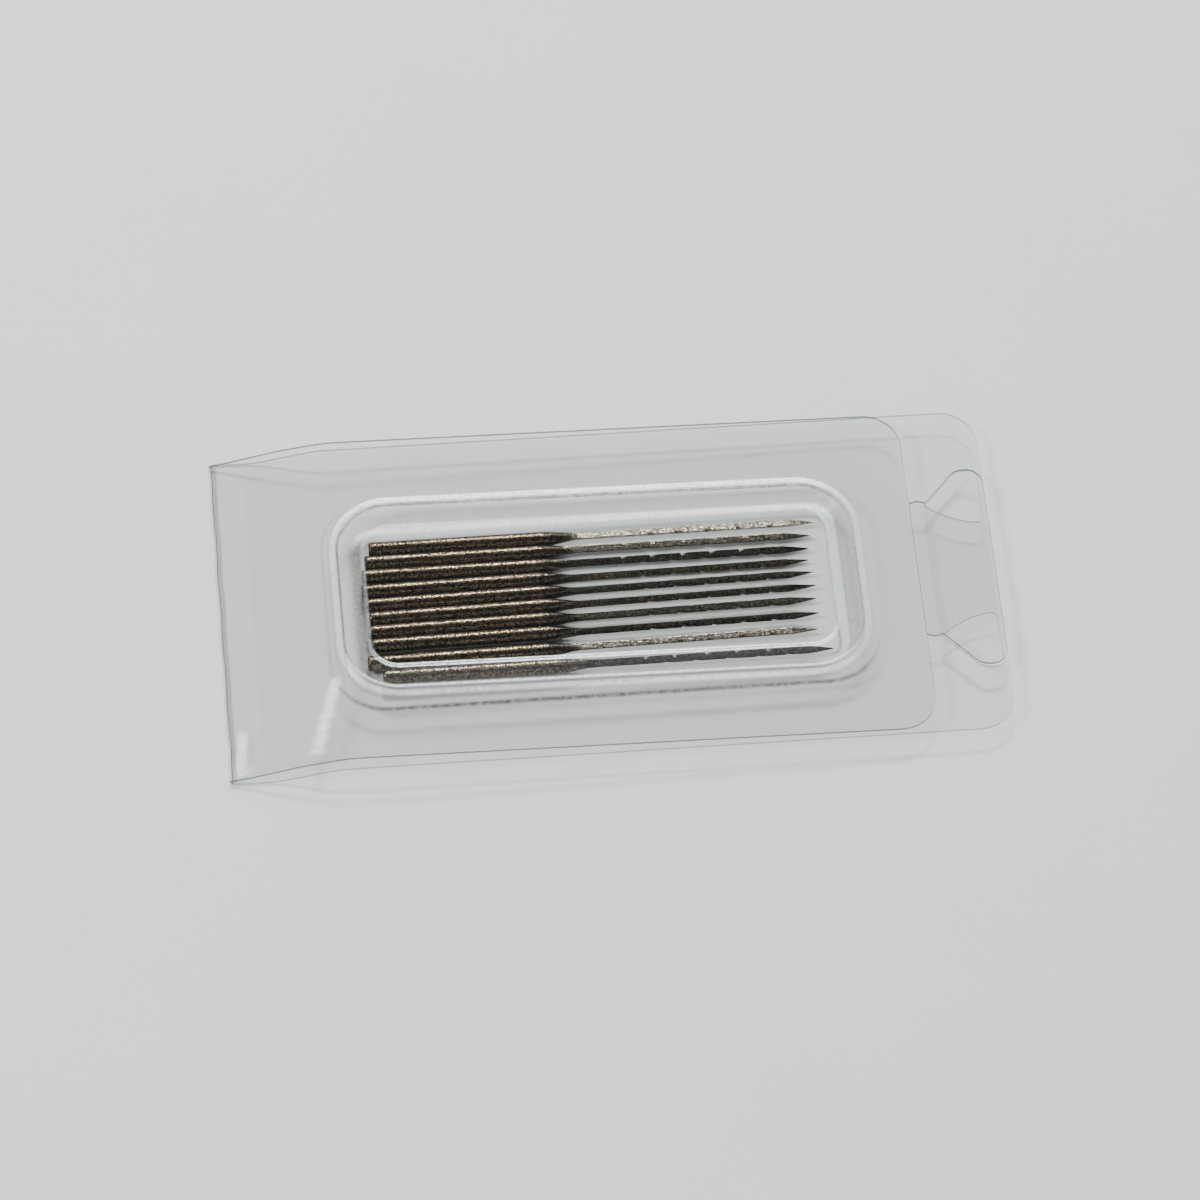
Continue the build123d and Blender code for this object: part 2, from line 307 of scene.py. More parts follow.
def ring_patch(core, radii, low_x, high_x, half_width, height):
    """Sheet round a pressed form, as loops that keep a fixed distance from a core rectangle.

    A loop at distance r is the core rectangle grown by r, so its corners are arcs of radius r.
    Inside, the loops shrink to the rectangle's middle line. Outside the last one, every point
    moves straight on along its own ray to the sheet's edge. height(x, r) gives the Z of a point.
    Returned last are the Y of the points on the edge at high_x, where the next patch joins.
    """
    long_half, wide_half = core
    inner_rows, outer_rows, long_points, short_points = 9, 36, 60, 25
    turns = []
    for sign_x, sign_y in ((1, 1), (-1, 1), (-1, -1), (1, -1)):
        edge_x = high_x if sign_x > 0 else low_x
        reach_x = abs(edge_x - BLISTER_X) - long_half
        reach_y = half_width - wide_half
        extra = [atan2(NECK_HALF - wide_half, reach_x)] if sign_x > 0 else []
        angles = corner_angles(reach_x, reach_y, extra)
        if sign_x * sign_y < 0:
            angles = angles[::-1]
        turns.append((sign_x, sign_y, angles, reach_x, reach_y))
    base, ray, edge = [], [], []
    for index, (sign_x, sign_y, angles, reach_x, reach_y) in enumerate(turns):
        corner = np.array((sign_x * long_half, sign_y * wide_half))
        direction = np.stack((sign_x * np.cos(angles), sign_y * np.sin(angles)), -1)
        stretch = np.minimum(reach_x / np.maximum(np.abs(direction[:, 0]), 1e-9),
                             reach_y / np.maximum(np.abs(direction[:, 1]), 1e-9))
        base.append(np.repeat(corner[None], len(angles), 0))
        ray.append(direction)
        edge.append(stretch)
        after = turns[(index + 1) % 4]
        following = np.array((after[0] * long_half, after[1] * wide_half))
        long_side = index % 2 == 0
        steps = np.linspace(0, 1, long_points if long_side else short_points)[1:-1]
        base.append(corner + (following - corner) * steps[:, None])
        away = np.array((0.0, sign_y) if long_side else (sign_x, 0.0))
        ray.append(np.repeat(away[None], len(steps), 0))
        edge.append(np.full(len(steps), reach_y if long_side else reach_x))
    base, ray, edge = np.vstack(base), np.vstack(ray), np.concatenate(edge)
    spine = np.stack((np.clip(base[:, 0], -(long_half - wide_half), long_half - wide_half),
                      np.zeros(len(base))), -1)
    rows, distance = [], []
    for step in np.linspace(0, 1, inner_rows)[:-1]:
        rows.append(spine + (base - spine) * step)
        distance.append(np.full(len(base), (step - 1) * wide_half))
    for radius in radii:
        rows.append(base + ray * radius)
        distance.append(np.full(len(base), radius))
    for step in np.linspace(0, 1, outer_rows)[1:]:
        grown = radii[-1] + (edge - radii[-1]) * step
        rows.append(base + ray * grown[:, None])
        distance.append(grown)
    plan = np.array(rows)
    r = np.array(distance)
    x = plan[:, :, 0] + BLISTER_X
    points = np.stack((x, plan[:, :, 1], height(x, r)), -1).reshape(-1, 3)
    faces = grid_faces(len(rows), len(base), wrap=True)[:, ::-1]
    rays = np.repeat(ray[None], len(rows), 0)
    values = {"press": r.ravel(), "away_x": rays[:, :, 0].ravel(), "away_y": rays[:, :, 1].ravel()}
    on_join = np.abs(x[-1] - high_x) < 1e-6
    join_rows = np.unique(np.round(np.append(plan[-1][on_join][:, 1], 0.0), 6))
    return points, faces, values, join_rows


def plain_values(count):
    """Values of points that lie beside the pressed form."""
    return {"press": np.full(count, BESIDE), "away_x": np.zeros(count), "away_y": np.zeros(count)}


def line_at(r, centre, width):
    """Soft line at one distance from the core: exp(-((r - centre) / width) squared)."""
    return np.exp(-((r - centre) / width) ** 2)


def band_at(r, low, high, soft):
    """Band between two distances with soft sides: a product of two smooth steps."""
    return 1 / (1 + np.exp(-(r - low) / soft)) / (1 + np.exp((r - high) / soft))


def mark_at(points, start, end, width):
    """Soft mark along a short line in plan: exp(-(distance to the line / width) to the fourth)."""
    first, along = np.array(start), np.array(end) - np.array(start)
    share = np.clip((points[:, :2] - first) @ along / (along @ along), 0, 1)
    distance = np.linalg.norm(points[:, :2] - first - share[:, None] * along, axis=1)
    return np.exp(-(distance / width) ** 4)


def fold_waver(points):
    """Slight unevenness of the fold: waves along Y, all inward, that fade within 3 mm of the edge.

    Two sine waves, about 7 and 2.7 mm long, and one dent near the nearer end of the fold.
    """
    y = points[:, 1]
    wave = 0.04 * (1 + np.sin(0.9 * y + 0.4)) + 0.02 * (1 + np.sin(2.3 * y))
    wave += 0.05 * line_at(y, -13.4, 0.8)
    moved = points.copy()
    moved[:, 0] += wave * np.clip(1 - points[:, 0] / 3.0, 0, 1)
    return moved


def column_places(start, end, count):
    """Places along X that crowd together towards the end, to follow a rounded corner."""
    share = np.linspace(0, 1, count)
    return start + (end - start) * (1 - (1 - share) ** 2)


def merged(*parts):
    """All the given places along X in rising order, with none twice."""
    return np.unique(np.round(np.concatenate(parts), 5))


def arc_inset(x, end, radius):
    """How far a rounded corner of that radius lies inside a straight side that runs to the end."""
    into = np.clip(x - (end - radius), 0, radius)
    return radius - np.sqrt(np.clip(radius ** 2 - into ** 2, 0, None))


def side_strip(x, y, side, height):
    """Strip of sheet beside the form: Y is given for each column and row, side turns it over."""
    across = np.repeat(x[:, None], y.shape[1], 1)
    z = height(across, np.full_like(across, BESIDE))
    points = np.stack((across, side * y, z), -1).reshape(-1, 3)
    faces = grid_faces(*y.shape)
    return points, faces if side < 0 else faces[:, ::-1], plain_values(len(points))


def lock_patch(x, join_rows, half_width, end_x, height, window=None):
    """Sheet beside the lock end: columns along X, rows that follow the rounded outer corners.

    The outermost row lies at the half width and turns in on a circle at the corner. With a
    window, given as the Y of its inner and outer side in each column, the rows spread apart
    over it from the neck's half width, and the cells between its two sides are left out.
    """
    rows = join_rows[join_rows >= 0]
    limit = half_width - arc_inset(x, end_x, SHEET_CORNER)
    middle = np.zeros_like(x)
    if window is None:
        spans = [(rows, 0, half_width, middle, limit)]
    else:
        inner, outer = window
        spans = [(rows[rows <= NECK_HALF + 1e-6], 0, NECK_HALF, middle, inner),
                 (rows[rows >= NECK_HALF - 1e-6], NECK_HALF, half_width, outer, limit)]
    patches = []
    for side in (1, -1):
        for places, low, high, low_line, high_line in spans:
            share = (places - low) / (high - low)
            y = low_line[:, None] + (high_line - low_line)[:, None] * share
            patches.append(side_strip(x, y, side, height))
    return patches


# Painted light along the pressed bends, as (side, strength, form, places), at set distances in mm from
# the core rectangle: painted highlights where the bends glint, painted shade and shadows beside them.
TRAY_PAINTED_GLINTS = (
    ("far", 0.10, band_at, 1.5, 2.35, 0.05), ("far", 0.6, band_at, 2.03, 2.4, 0.04),
    ("right", 0.10, band_at, 1.55, 2.3, 0.04), ("near", 0.10, band_at, 1.6, 2.3, 0.06),
    ("left", 0.05, band_at, 2.4, 3.45, 0.06))
TRAY_PAINTED_SHADE = (
    ("right", 0.20, line_at, 1.5, 0.09), ("right", 0.18, line_at, 2.38, 0.08),
    ("right", 0.07, band_at, 2.45, 3.5, 0.05),
    ("far", 0.05, band_at, 2.45, 3.55, 0.05), ("far", 0.06, line_at, 1.5, 0.1),
    ("left", 0.30, line_at, 3.55, 0.1), ("left", 0.20, band_at, 0.8, 2.4, 0.3),
    ("near", 0.15, line_at, 1.5, 0.1), ("near", 0.2, line_at, 3.55, 0.1),
    ("near", 0.5, line_at, 4.9, 0.18), ("left", 0.10, line_at, 4.9, 0.12))
COVER_PAINTED_GLINTS = (
    ("far", 1.0, line_at, 5.4, 0.11), ("far", 0.20, band_at, 4.85, 5.3, 0.04),
    ("far", 0.08, line_at, 4.3, 0.12), ("far", 0.25, line_at, 2.5, 0.1),
    ("near", 0.95, line_at, 2.5, 0.08), ("near", 0.008, band_at, 2.6, 4.8, 0.08),
    ("near", 0.5, line_at, 4.87, 0.09), ("near", 0.22, band_at, 5.25, 5.6, 0.04),
    ("right", 0.10, band_at, 4.95, 5.5, 0.05), ("right", 0.12, line_at, 2.5, 0.1),
    ("left", 0.12, band_at, 4.95, 5.5, 0.05), ("left", 0.10, line_at, 2.5, 0.1))
COVER_PAINTED_SHADE = (
    ("left", 0.40, line_at, 4.85, 0.09), ("right", 0.30, line_at, 4.85, 0.09),
    ("far", 0.55, line_at, 4.6, 0.09), ("far", 0.02, band_at, 5.8, 9.2, 0.15),
    ("near", 0.01, band_at, 5.8, 9.2, 0.15), ("near", 0.12, line_at, 5.1, 0.06),
    ("near", 0.10, line_at, 5.9, 0.12), ("left", 0.12, line_at, 5.6, 0.08),
    ("right", 0.06, line_at, 5.6, 0.08))

# Painted glare: pale streaks of reflected light on the near side of the cover, from and to, and how
# strong and how wide they are
GLARE_STREAKS = (((9.8, -8.6), (7.8, -15.3)), ((1.3, -12.4), (1.0, -16.4)))
GLARE_STRENGTH, GLARE_WIDTH = 0.24, 0.45


def bend_marks(values, rows):
    """Sum of marks: each side's share of a point times a line or band at its distance.

    A point belongs to a side by the square of the part of its ray that goes that way.
    """
    x, y = values["away_x"], values["away_y"]
    sides = {"far": y, "near": -y, "left": -x, "right": x}
    return sum(np.clip(sides[side], 0, 1) ** 2 * strength * form(values["press"], *places)
               for side, strength, form, *places in rows)


def finish_film(name, points, faces, thickness, white=None, shade=None):
    """Give a film surface its thickness, its painted highlight and painted shade and the fold's
    unevenness, and write it.
    """
    plain = np.zeros(len(points))
    marks = {"white": plain if white is None else white, "shade": plain if shade is None else shade}
    points, faces, marks, slots = thicken(points, faces, marks, thickness)
    points = fold_waver(points)
    points[:, 0] += FOLD_X
    return write_mesh(name, points, faces, marks, slots)


def film_sizes():
    """The film's sizes in millimetres, as plain numbers, from the scene's settings."""
    sizes = bpy.context.scene.wallet_film
    named = {key: getattr(sizes, key) / MM for key in (
        "thickness", "tray_half_width", "cover_half_width", "cover_length", "flange_top",
        "floor_half_length", "floor_half_width", "wall_run", "frame_height")}
    named["lean"] = sizes.cover_lean
    return named


def wing_line(x, grow=0.0):
    """Half width of the wings along X: it slants out from the neck and rounds at both corners."""
    root = film_sizes()["cover_length"] + TAB_ROOT
    end = END_X - FOLD_X
    reach = WING_REACH + grow
    slope = tan(WING_ANGLE)
    points = [(root - 1, NECK_HALF - slope), (root, NECK_HALF),
              (root + reach / slope, NECK_HALF + reach), (end + 1, NECK_HALF + reach)]
    return bent_line(x, points, [0.05, WING_CORNER])


def window_sides(x, root, leaf_end):
    """Y of the inner and outer side of a leaf-shaped window along X.

    The outer side follows the wing over it, a little wider. The inner side leaves the neck on a
    parabola, and both close in on a small arc at the end.
    """
    end_radius, depth, clearance = 0.6, 2.1, 0.15
    leaf = np.clip((x - root) / (leaf_end - root), 0, 1)
    pull = arc_inset(x, leaf_end, end_radius)
    inner = NECK_HALF - depth * leaf * (2 - leaf) + pull
    outer = wing_line(x, clearance) - pull
    return np.where(x > root, inner, NECK_HALF), np.where(x > root, outer, NECK_HALF)


def make_tray_film():
    """Lower sheet: ramp from the fold, flange, pressed tray with sloping walls, two windows.

    Its height is a line of straight runs and arcs along X, and across the tray's wall another
    such line in the distance from the core.
    """
    s = film_sizes()
    end = END_X - FOLD_X
    top, film = s["flange_top"], s["thickness"]
    floor_corner = 1.5
    core = (s["floor_half_length"] - floor_corner, s["floor_half_width"] - floor_corner)
    wall_top = floor_corner + s["wall_run"]
    ramp_angle, ramp_bends, shelf = radians(14), [8.0, 8.25], 0.2
    ramp_top = BLISTER_X - core[0] - wall_top - shelf - ramp_bends[1] * tan(ramp_angle / 2)
    ramp_foot = ramp_top - (top - film) / tan(ramp_angle)
    base = [(0.0, film), (ramp_foot, film), (ramp_top, top), (end + 1, top)]
    wall = [(-20.0, film), (floor_corner, film), (wall_top, top), (40.0, top)]

    def height(x, r):
        """Z at a place along X and a distance r from the core, which counts as far as the wall."""
        across_wall = bent_line(r, wall, [0.3, 0.4])
        return np.where(r < wall_top + 0.3, across_wall, bent_line(x, base, ramp_bends))

    radii = np.concatenate((
        np.linspace(0, 1.2, 5), np.linspace(1.3, 1.8, 14), np.linspace(1.87, 3.1, 18),
        np.linspace(3.2, 4.0, 18), np.linspace(4.2, 5.2, 12)))
    join_x = 60.0
    points, faces, values, join_rows = ring_patch(
        core, radii, FOLD_OUTER, join_x, s["tray_half_width"], height)
    root = s["cover_length"] + TAB_ROOT
    leaf_end = end - 0.45  # the windows stop short of the sheet's edge
    columns = merged(
        np.linspace(join_x, root, 14), root + (leaf_end - root) * np.linspace(0, 1, 40) ** 1.6,
        np.linspace(root + 2.0, leaf_end, 50), column_places(leaf_end - 0.7, leaf_end, 12),
        column_places(end - SHEET_CORNER, end, 24))
    window = window_sides(columns, root, leaf_end)
    patches = [(points, faces, values)]
    patches += lock_patch(columns, join_rows, s["tray_half_width"], end, height, window)
    # the strip between a window's end and the sheet's edge
    past = columns >= leaf_end - 1e-6
    low, high = (line[past][:, None] for line in window)
    rim = low + (high - low) * np.linspace(0, 1, 30)
    patches += [side_strip(columns[past], rim, side, height) for side in (1, -1)]
    points, faces, values = join_patches(patches)
    # painted highlights and painted shade along the tray's bends
    return finish_film("tray_film", points, faces, film,
                       bend_marks(values, TRAY_PAINTED_GLINTS), bend_marks(values, TRAY_PAINTED_SHADE))


def cover_base():
    """Line of the upper film's top face from the fold to the lock, as corners and bend radii."""
    s = film_sizes()
    end = END_X - FOLD_X
    film = s["thickness"]
    lean = s["lean"]
    start = (FOLD_OUTER + FOLD_OUTER * cos(FOLD_TURN), FOLD_OUTER + FOLD_OUTER * sin(FOLD_TURN))
    seat = s["flange_top"] + 0.05  # the underside at the lock, just clear of the tray sheet

    def plane(x):
        """Z of the cover's top face on the plane that leans to the lock."""
        return seat + film / cos(lean) + (end - x) * tan(lean)

    # it leaves the fold as the half turn ends, climbs, and meets the leaning plane before the frame
    climb = tan(FOLD_TURN - radians(90))
    points = [start, (1.2, start[1] + (1.2 - start[0]) * climb), (6.3, 2.22),
              (10.4, plane(10.4)), (end + 1, plane(end + 1))]
    return start, points, [4.0, 11.0, 13.0]


def make_cover_film():
    """Upper sheet: it climbs from the fold, leans to the lock, and has the raised frame.

    Its height is the base line along X plus the frame's profile in the distance from the core.
    """
    s = film_sizes()
    start, base, bends = cover_base()
    frame_foot = 5.5  # distance from the core to the frame's outer foot
    core = (18.2, s["floor_half_width"] + s["wall_run"] + 0.75 - frame_foot)
    rise = s["frame_height"]
    press = [(-20.0, 0.0), (2.45, 0.0), (2.9, rise), (4.75, rise), (frame_foot, 0.0), (40.0, 0.0)]

    def height(x, r):
        """Z at a place along X and a distance r from the core."""
        return bent_line(x, base, bends) + bent_line(r, press, [0.25, 0.35, 0.35, 0.45])

    radii = np.concatenate((
        np.linspace(0, 2.0, 6), np.linspace(2.15, 3.2, 18), np.linspace(3.4, 4.3, 5),
        np.linspace(4.4, 5.9, 30), (6.0, 6.2)))
    join_x = 58.6
    points, faces, values, join_rows = ring_patch(
        core, radii, start[0], join_x, s["cover_half_width"], height)
    end = s["cover_length"]
    columns = merged(np.linspace(join_x, end - SHEET_CORNER, 4),
                     column_places(end - SHEET_CORNER, end, 30))
    patches = [(points, faces, values)]
    patches += lock_patch(columns, join_rows, s["cover_half_width"], end, height)
    points, faces, values = join_patches(patches)
    # painted highlights and painted shade along the cover's bends
    white = bend_marks(values, COVER_PAINTED_GLINTS)
    # painted glare streaks near the fold
    for first, last in GLARE_STREAKS:
        white += GLARE_STRENGTH * mark_at(points, first, last, GLARE_WIDTH)
    return finish_film("cover_film", points, faces, s["thickness"],
                       white, bend_marks(values, COVER_PAINTED_SHADE))


def make_tab_film():
    """Lock tab past the crease: a neck whose sides bulge on a parabola, then two wings.

    Each column of points runs straight across, from minus to plus the half width at its X.
    """
    s = film_sizes()
    _, base, bends = cover_base()
    start = s["cover_length"] + CREASE_GAP
    end = END_X - FOLD_X
    root = s["cover_length"] + TAB_ROOT
    x = merged(np.linspace(start, root, 12), root + np.linspace(0, 0.2, 6),
               np.linspace(root, end - WING_CORNER, 40), column_places(end - WING_CORNER, end, 26))
    bulge = 0.25 * (1 - ((x - start) / TAB_ROOT * 2 - 1) ** 2)
    half = np.where(x < root, NECK_HALF + bulge, wing_line(x) - arc_inset(x, end, WING_CORNER))
    share = np.linspace(-1, 1, 81)
    y = half[:, None] * share
    across = np.repeat(x[:, None], len(share), 1)
    points = np.stack((across, y, bent_line(across, base, bends)), -1).reshape(-1, 3)
    points, faces, _ = weld(points, grid_faces(*y.shape)[:, ::-1], {})
    return finish_film("tab_film", points, faces, s["thickness"])


def make_fold_bend():
    """Half turn of film at the fold: an arc about the fold's axis carried across the wallet."""
    half = film_sizes()["cover_half_width"]
    angle = np.linspace(radians(270), FOLD_TURN, 25)
    y = np.linspace(-half, half, 120)
    a, across = np.meshgrid(angle, y, indexing="ij")
    points = np.stack((FOLD_OUTER + FOLD_OUTER * np.cos(a), across,
                       FOLD_OUTER + FOLD_OUTER * np.sin(a)), -1).reshape(-1, 3)
    faces = grid_faces(len(angle), len(y))[:, ::-1]
    return finish_film("fold_bend", points, faces, FOLD_OUTER - FOLD_INNER)


# Which way one flat face of each blade looks, in degrees from +Y up: near 90 it catches the light
BLADE_FACES = (86, 98, 108, 150, 146, 156, 142, 151, 93, 112)

# The barbs in mm: from the point to the first one, between two on an edge, and how far that strays
BARB_START, BARB_PITCH, BARB_STRAY = 4.4, 2.7, 0.15
BARB_LENGTH, BARB_DEPTH = 0.6, 0.13
BUTT_LENGTH, BUTT_DEPTH = 0.2, 0.16  # the rounding of the butt, in mm
SHANK_UNEVEN, BLADE_UNEVEN = 0.004, 0.007  # how uneven the steel is, in mm


def needle_form(index):
    """One felting needle: radius as a function of the place s along it and the angle a round it.

    The shank is a circle. Over the taper it becomes a triangle with softly rounded edges, whose
    radius is the inner radius / cos of the angle to the nearest face. The barbs are notches in
    the three edges, deepest at a steep side that faces the point. Over the last stretch the
    radius falls to the point. Returned are the points, the faces and each point's s.
    """
    sizes = bpy.context.scene.wallet_needles
    length, radius = sizes.length / MM, sizes.shank_diameter / MM / 2
    shank, taper, point = sizes.shank_length / MM, sizes.taper_length / MM, sizes.point_length / MM
    tip_radius = sizes.blade_side / MM / 3 ** 0.5
    random = np.random.default_rng(100 + index)
    barbs = []
    for edge in range(3):
        for step in range(sizes.barbs_per_edge):
            from_point = BARB_START + (step + edge / 3) * BARB_PITCH
            barbs.append((edge, length - from_point + random.uniform(-BARB_STRAY, BARB_STRAY)))
    steps = [np.linspace(0.0, BUTT_LENGTH, 5), np.linspace(BUTT_LENGTH, shank, 60),
             np.linspace(shank, shank + taper, 14),
             np.linspace(shank + taper, length - point, 150), np.linspace(length - point, length, 16)]
    for _, place in barbs:
        steps.append(place + np.array((-0.02, 0.0, 0.15, 0.3, 0.45, BARB_LENGTH)))
    along = np.unique(np.round(np.concatenate(steps), 4))
    angle = np.linspace(0, 2 * np.pi, 48, endpoint=False)
    s, a = np.meshgrid(along, angle, indexing="ij")
    from_face = np.mod(a + np.pi / 3, 2 * np.pi / 3) - np.pi / 3
    flat = np.minimum(tip_radius / 2 / np.cos(from_face), tip_radius * 0.93)
    blend = np.clip((s - shank) / taper, 0, 1)
    blend = blend * blend * (3 - 2 * blend)
    r = radius * (1 - blend) + flat * blend
    for edge, place in barbs:
        here = (s - place) / BARB_LENGTH
        depth = np.where((here >= 0) & (here <= 1), BARB_DEPTH * (1 - here), 0)
        gap = np.mod(a - np.pi / 3 - edge * 2 * np.pi / 3 + np.pi, 2 * np.pi) - np.pi
        r -= depth * line_at(gap, 0, 0.3)
    rough = random.normal(0, 1, s.shape)
    rough = (rough + np.roll(rough, 1, 1) + np.roll(rough, 1, 0)) / 3
    r += rough * np.where(s < shank, SHANK_UNEVEN, BLADE_UNEVEN)
    r *= np.clip((length - s) / point, 0, 1) ** 0.8
    r -= BUTT_DEPTH * np.clip(1 - s / BUTT_LENGTH, 0, 1) ** 2
    points = np.stack((s, r * np.cos(a), r * np.sin(a)), -1).reshape(-1, 3)
    rows, columns = s.shape
    faces = grid_faces(rows, columns, wrap=True)[:, ::-1]
    centre = len(points)
    points = np.vstack((points, [(0.0, 0.0, 0.0)]))
    first = np.arange(columns)
    cap = np.stack((first, np.roll(first, -1), np.full(columns, centre)), -1)
    return points, np.vstack((faces, cap[:, ::-1])), np.append(s.ravel(), 0.0)


def make_needle(index, node):
    """Roll a needle, turn it along its CAD node's slide and set its butt in the node's place."""
    points, faces, along = needle_form(index)
    radius = bpy.context.scene.wallet_needles.shank_diameter / MM / 2
    axis = next(Vector(joint["axis"]) for joint in frame["joints"] if joint["child"] == node)
    roll = radians(BLADE_FACES[index % len(BLADE_FACES)])
    turned = Matrix.Rotation(atan2(axis.y, axis.x), 3, "Z") @ Matrix.Rotation(roll, 3, "X")
    low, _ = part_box(node)
    butt = np.array((low.x / MM, low.y / MM + radius, low.z / MM + radius))
    points = points @ np.array(turned).T + butt
    points, faces, values = weld(points, faces, {"along": along})
    return write_mesh(f"felting_{node}", points, faces, values)


def srgb(code):
    """Linear colour with alpha from an sRGB hex value."""
    channel = np.array([int(code[i:i + 2], 16) for i in (1, 3, 5)]) / 255
    linear = np.where(channel <= 0.04045, channel / 12.92, ((channel + 0.055) / 1.055) ** 2.4)
    return (*[float(value) for value in linear], 1.0)


def add_node(material, kind, settings=None, **links):
    """Add a node with its settings; a link is a value, or (node, output) to connect.

    A link is named for its socket, with _ for a space, or i and the socket's number.
    """
    node = material.node_tree.nodes.new(kind)
    for key, value in (settings or {}).items():
        setattr(node, key, value)
    for key, value in links.items():
        by_number = key[0] == "i" and key[1:].isdigit()
        socket = node.inputs[int(key[1:]) if by_number else key.replace("_", " ")]
        if isinstance(value, tuple) and isinstance(value[0], bpy.types.Node):
            material.node_tree.links.new(value[0].outputs[value[1]], socket)
        else:
            socket.default_value = value
    return node


def new_material(name):
    """Empty node material."""
    material = bpy.data.materials.new(name)
    material.use_nodes = True
    material.node_tree.nodes.clear()
    return material


def clear_film(name, tint):
    """Clear PVC film, calendered and then pressed with heat: glossy, and faintly wavy.

    Most light passes. The gloss rises towards grazing view as on any plastic of index about 1.5.
    Along the pressed bends two point attributes paint light in: a painted highlight of white
    that glows weakly, for the bends' glint, and painted shade that darkens the light passing through.
    """
    m = new_material(name)
    white = add_node(m, "ShaderNodeAttribute", {"attribute_name": "white"})
    shade = add_node(m, "ShaderNodeAttribute", {"attribute_name": "shade"})
    facing = add_node(m, "ShaderNodeLayerWeight", Blend=0.5)
    power = add_node(m, "ShaderNodeMath", {"operation": "POWER"}, i0=(facing, "Facing"), i1=5.0)
    gloss = add_node(m, "ShaderNodeMath", {"operation": "MULTIPLY_ADD"}, i0=(power, 0), i1=0.9,
                     i2=0.004)
    place = add_node(m, "ShaderNodeTexCoord")
    # waves of the calendered film, about 9 mm long and a tenth of a millimetre high
    waves = add_node(m, "ShaderNodeTexNoise", Vector=(place, "Object"), Scale=110.0, Detail=2.0)
    bump = add_node(m, "ShaderNodeBump", Strength=0.6, Distance=0.0002, Height=(waves, 0))
    # uneven painted highlight and painted shade along the bends, in grains of about 0.4 mm
    grain = add_node(m, "ShaderNodeTexNoise", Vector=(place, "Object"), Scale=2500.0, Detail=2.0)
    uneven = add_node(m, "ShaderNodeMapRange", i0=(grain, 0), i1=0.3, i2=0.7, i3=0.45, i4=1.5)
    whiter = add_node(m, "ShaderNodeMath", {"operation": "MULTIPLY", "use_clamp": True},
                      i0=(white, "Fac"), i1=(uneven, 0))
    darker = add_node(m, "ShaderNodeMath", {"operation": "MULTIPLY", "use_clamp": True},
                      i0=(shade, "Fac"), i1=(uneven, 0))
    # painted shade: light passing the film is darkened towards brown-grey along the bends
    passed = add_node(m, "ShaderNodeMix", {"data_type": "RGBA"}, i0=(darker, 0), i6=(*tint, 1),
                      i7=srgb("#403c34"))
    clear = add_node(m, "ShaderNodeBsdfTransparent", Color=(passed, 2))
    surface = add_node(m, "ShaderNodeBsdfPrincipled", Base_Color=srgb("#d9dbdc"), Metallic=0.8,
                       Roughness=0.1, Normal=(bump, 0))
    mix = add_node(m, "ShaderNodeMixShader", i0=(gloss, 0), i1=(clear, 0), i2=(surface, 0))
    # painted highlight: diffuse white that glows weakly along the bends, for their glint
    painted_glint = add_node(m, "ShaderNodeBsdfPrincipled", Base_Color=srgb("#fafaff"), Roughness=0.35,
                     Emission_Color=srgb("#f4f4ff"), Emission_Strength=0.9, Normal=(bump, 0))
    whole = add_node(m, "ShaderNodeMixShader", i0=(whiter, 0), i1=(mix, 0), i2=(painted_glint, 0))
    add_node(m, "ShaderNodeOutputMaterial", Surface=(whole, 0))
    return m


def cut_edge(name, code, cover):
    """Die-cut edge of the PVC film, scored by the blade and half clear; its grey is partly painted
    shade.
    """
    m = new_material(name)
    clear = add_node(m, "ShaderNodeBsdfTransparent", Color=srgb("#e6e9e8"))
    surface = add_node(m, "ShaderNodeBsdfPrincipled", Base_Color=srgb(code), Roughness=0.35)
    mix = add_node(m, "ShaderNodeMixShader", i0=cover, i1=(clear, 0), i2=(surface, 0))
    add_node(m, "ShaderNodeOutputMaterial", Surface=(mix, 0))
    return m


def needle_steel():
    """Hardened carbon steel wire, drawn and tumbled: brown-black with a speckled golden gleam.

    The blade is ground, so past the shank the brown scale gives way to a colder grey.
    """
    m = new_material("hardened needle steel")
    place = add_node(m, "ShaderNodeTexCoord")
    along = add_node(m, "ShaderNodeAttribute", {"attribute_name": "along"})
    ground = add_node(m, "ShaderNodeMapRange", i0=(along, "Fac"), i1=15.0, i2=18.0, i3=0.0, i4=1.0)
    # pits in the scale, drawn coarse at about 0.25 mm so that they show, and stains of about 0.7 mm
    pits = add_node(m, "ShaderNodeTexNoise", Vector=(place, "Object"), Scale=4200.0, Detail=2.0,
                    Roughness=0.7)
    stains = add_node(m, "ShaderNodeTexNoise", Vector=(place, "Object"), Scale=1400.0, Detail=3.0)
    bare = add_node(m, "ShaderNodeMapRange", i0=(pits, 0), i1=0.42, i2=0.6, i3=0.0, i4=1.0)
    tint = add_node(m, "ShaderNodeMapRange", i0=(stains, 0), i1=0.35, i2=0.65, i3=0.0, i4=1.0)
    tone = add_node(m, "ShaderNodeMix", {"data_type": "RGBA"}, i0=(tint, 0), i6=srgb("#756954"),
                    i7=srgb("#665d4e"))
    scale = add_node(m, "ShaderNodeMix", {"data_type": "RGBA"}, i0=(ground, 0), i6=srgb("#231c14"),
                     i7=srgb("#2f2c28"))
    metal = add_node(m, "ShaderNodeMix", {"data_type": "RGBA"}, i0=(ground, 0), i6=(tone, 2),
                     i7=srgb("#5c5850"))
    colour = add_node(m, "ShaderNodeMix", {"data_type": "RGBA"}, i0=(bare, 0), i6=(scale, 2),
                      i7=(metal, 2))
    rough = add_node(m, "ShaderNodeMapRange", i0=(pits, 0), i1=0.3, i2=0.7, i3=0.31, i4=0.22)
    bump = add_node(m, "ShaderNodeBump", Strength=1.0, Distance=0.000025, Height=(pits, 0))
    steel = add_node(m, "ShaderNodeBsdfPrincipled", Base_Color=(colour, 2), Metallic=1.0,
                     Roughness=(rough, 0), Normal=(bump, 0))
    add_node(m, "ShaderNodeOutputMaterial", Surface=(steel, 0))
    return m


